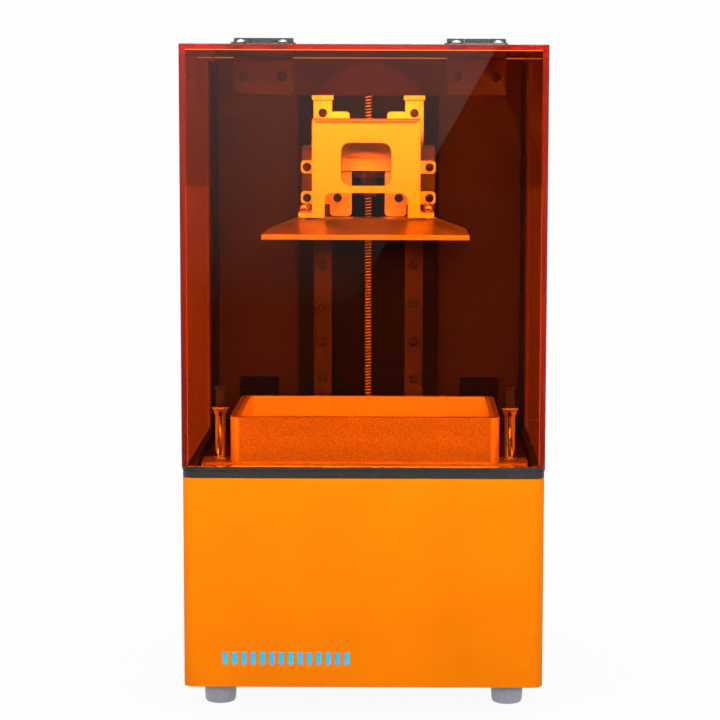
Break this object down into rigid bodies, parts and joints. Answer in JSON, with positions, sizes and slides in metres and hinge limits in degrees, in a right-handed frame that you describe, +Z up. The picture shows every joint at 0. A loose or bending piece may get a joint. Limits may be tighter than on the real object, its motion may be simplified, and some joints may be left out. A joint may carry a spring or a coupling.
{
  "type": "desktop resin 3D printer",
  "caption": "Desktop resin 3D printer: painted steel base, tinted lift-up hood on rear hinges, screw-driven build plate on twin rails over a removable resin vat.",
  "frame": {"origin": "middle of the footprint, hinges included, on the plane the feet stand on", "axes": "+X to the right seen from the front, +Y towards the back, +Z up; the front faces -Y"},
  "size_m": [0.216, 0.226, 0.4053],
  "materials": {
    "orange_paint": "fine textured satin powder coat",
    "black_paint": "matte black coat",
    "trim_plastic": "satin black moulding",
    "foot_rubber": "matte grey moulding",
    "tinted_acrylic": "clear tinted, polished",
    "hinge_metal": "dark satin",
    "bright_steel": "ground and polished",
    "aluminium": "clear anodised",
    "cast_aluminium": "bead blasted",
    "black_polymer": "moulded",
    "circuit_board": "solder mask",
    "display_glass": "polished",
    "clear_film": "clear film"
  },
  "bodies": {
    "printer_base": {"base_shell": "orange_paint", "base_bottom_plate": "black_paint", "foot_front_left": "foot_rubber", "foot_front_right": "foot_rubber", "foot_rear_left": "foot_rubber", "foot_rear_right": "foot_rubber", "deck_plate": "orange_paint", "deck_trim": "trim_plastic", "lcd_panel": "display_glass", "lcd_glass": "display_glass", "lamp_housing": "black_paint", "uv_led_board": "circuit_board", "heatsink": "aluminium", "led_fan_frame": "black_polymer", "exhaust_fan_frame": "black_polymer", "mainboard": "circuit_board", "touch_bezel": "trim_plastic", "touch_screen": "display_glass", "usb_port": "bright_steel", "power_inlet": "black_polymer", "switch_housing": "black_polymer", "back_panel": "black_paint", "z_column": "black_paint", "z_motor": "black_paint", "z_endstop": "black_polymer", "back_bracket_left": "black_paint", "back_bracket_right": "black_paint", "rail_left": "bright_steel", "rail_right": "bright_steel", "rail_stop_left": "bright_steel", "rail_stop_right": "bright_steel", "hinge_fixed_leaf_left": "hinge_metal", "hinge_fixed_leaf_right": "hinge_metal", "hinge_backing_left": "hinge_metal", "hinge_backing_right": "hinge_metal"},
    "hood": {"hood_cover": "tinted_acrylic", "hinge_moving_leaf_left": "hinge_metal", "hinge_moving_leaf_right": "hinge_metal"},
    "carriage": {"bearing_block_left": "bright_steel", "bearing_block_right": "bright_steel", "arm_plate_left": "aluminium", "arm_plate_right": "aluminium", "arm_bracket": "aluminium", "nut_bracket": "aluminium", "lead_nut": "black_polymer", "build_plate": "aluminium"},
    "lead_screw_assembly": {"lead_screw": "bright_steel", "shaft_coupler": "aluminium"},
    "vat": {"vat_body": "cast_aluminium", "film_frame": "aluminium", "vat_film": "clear_film"},
    "led_fan_impeller": {"led_fan_rotor": "black_polymer"},
    "exhaust_fan_impeller": {"exhaust_fan_rotor": "black_polymer"},
    "power_switch_key": {"power_rocker": "black_polymer"},
    "thumbscrew_left_body": {"thumbscrew_left": "bright_steel"},
    "thumbscrew_right_body": {"thumbscrew_right": "bright_steel"},
    "leveller_front_left": {"levelling_screw_front_left": "bright_steel"},
    "leveller_rear_left": {"levelling_screw_rear_left": "bright_steel"},
    "leveller_front_right": {"levelling_screw_front_right": "bright_steel"},
    "leveller_rear_right": {"levelling_screw_rear_right": "bright_steel"}
  },
  "joints": [
    {"name": "hood_hinge", "type": "hinge", "parent": "printer_base", "child": "hood", "pos_m": [0, 0.108, 0.4003], "axis": [-1, 0, 0], "range_deg": [0, 100]},
    {"name": "z_travel", "type": "slide", "parent": "printer_base", "child": "carriage", "axis": [0, 0, 1], "range_m": [-0.133, 0.025]},
    {"name": "lead_screw_spin", "type": "hinge", "parent": "printer_base", "child": "lead_screw_assembly", "pos_m": [0, 0.047, 0.26], "axis": [0, 0, 1], "continuous": true},
    {"name": "vat_lift_out", "type": "slide", "parent": "printer_base", "child": "vat", "axis": [0, 0, 1], "range_m": [0, 0.06]},
    {"name": "led_fan_spin", "type": "hinge", "parent": "printer_base", "child": "led_fan_impeller", "pos_m": [0, -0.017, 0.031], "axis": [0, 0, 1], "continuous": true},
    {"name": "exhaust_fan_spin", "type": "hinge", "parent": "printer_base", "child": "exhaust_fan_impeller", "pos_m": [-0.06, 0.093, 0.07], "axis": [0, 1, 0], "continuous": true},
    {"name": "power_switch_rock", "type": "hinge", "parent": "printer_base", "child": "power_switch_key", "pos_m": [0.062, 0.1015, 0.066], "axis": [1, 0, 0], "range_deg": [0, 24]},
    {"name": "thumbscrew_left_spin", "type": "hinge", "parent": "vat", "child": "thumbscrew_left_body", "pos_m": [-0.089, -0.0565, 0.165], "axis": [0, 0, 1], "continuous": true},
    {"name": "thumbscrew_right_spin", "type": "hinge", "parent": "vat", "child": "thumbscrew_right_body", "pos_m": [0.089, -0.0565, 0.165], "axis": [0, 0, 1], "continuous": true},
    {"name": "leveller_front_left_spin", "type": "hinge", "parent": "carriage", "child": "leveller_front_left", "pos_m": [-0.0385, -0.028, 0.292], "axis": [0, 0, 1], "continuous": true},
    {"name": "leveller_rear_left_spin", "type": "hinge", "parent": "carriage", "child": "leveller_rear_left", "pos_m": [-0.0385, -0.004, 0.292], "axis": [0, 0, 1], "continuous": true},
    {"name": "leveller_front_right_spin", "type": "hinge", "parent": "carriage", "child": "leveller_front_right", "pos_m": [0.0385, -0.028, 0.292], "axis": [0, 0, 1], "continuous": true},
    {"name": "leveller_rear_right_spin", "type": "hinge", "parent": "carriage", "child": "leveller_rear_right", "pos_m": [0.0385, -0.004, 0.292], "axis": [0, 0, 1], "continuous": true}
  ],
  "couplings": [
    {"joint": "lead_screw_spin", "follows": "z_travel", "rad_per_m": 3141.6}
  ]
}
